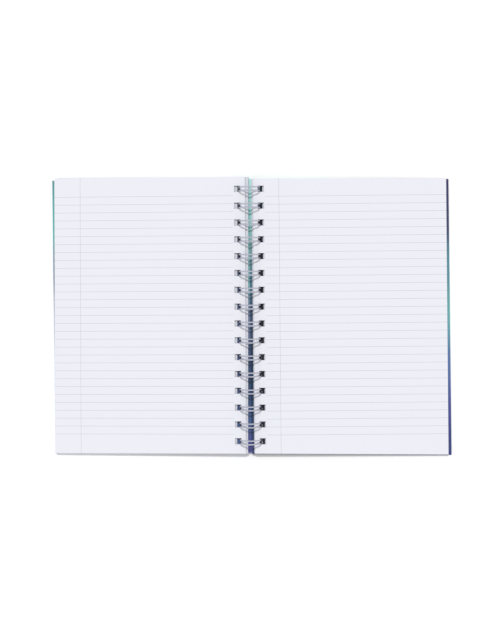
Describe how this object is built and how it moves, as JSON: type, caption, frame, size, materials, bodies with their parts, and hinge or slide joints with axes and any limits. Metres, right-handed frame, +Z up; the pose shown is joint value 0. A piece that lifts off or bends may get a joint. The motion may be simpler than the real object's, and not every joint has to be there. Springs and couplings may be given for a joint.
{
  "type": "open twin-loop wire-bound notebook",
  "caption": "Open wire-bound notebook: two piles of leaves and two cover boards hang on one comb of paired wire loops, and the front half turns over the wire to close.",
  "frame": {"origin": "middle of the spread on the surface it lies on, under the wire's axis", "axes": "+X across the spread to the right-hand page, +Y along the spine to the head of the page, +Z up from the page"},
  "size_m": [0.3015, 0.2102, 0.0167],
  "materials": {
    "front_board": "matte laminated card",
    "back_board": "matte laminated card",
    "leaves": "uncoated, ruled",
    "wire": "bright drawn wire"
  },
  "bodies": {
    "back_half": {"back_cover": "back_board", "remaining_pages": "leaves", "binding_wire": "wire"},
    "front_half": {"front_cover": "front_board", "turned_pages": "leaves"}
  },
  "joints": [
    {"name": "front_cover_hinge", "type": "hinge", "parent": "back_half", "child": "front_half", "pos_m": [0, 0, 0.00836], "axis": [0, 1, 0], "range_deg": [0, 182.5]}
  ]
}
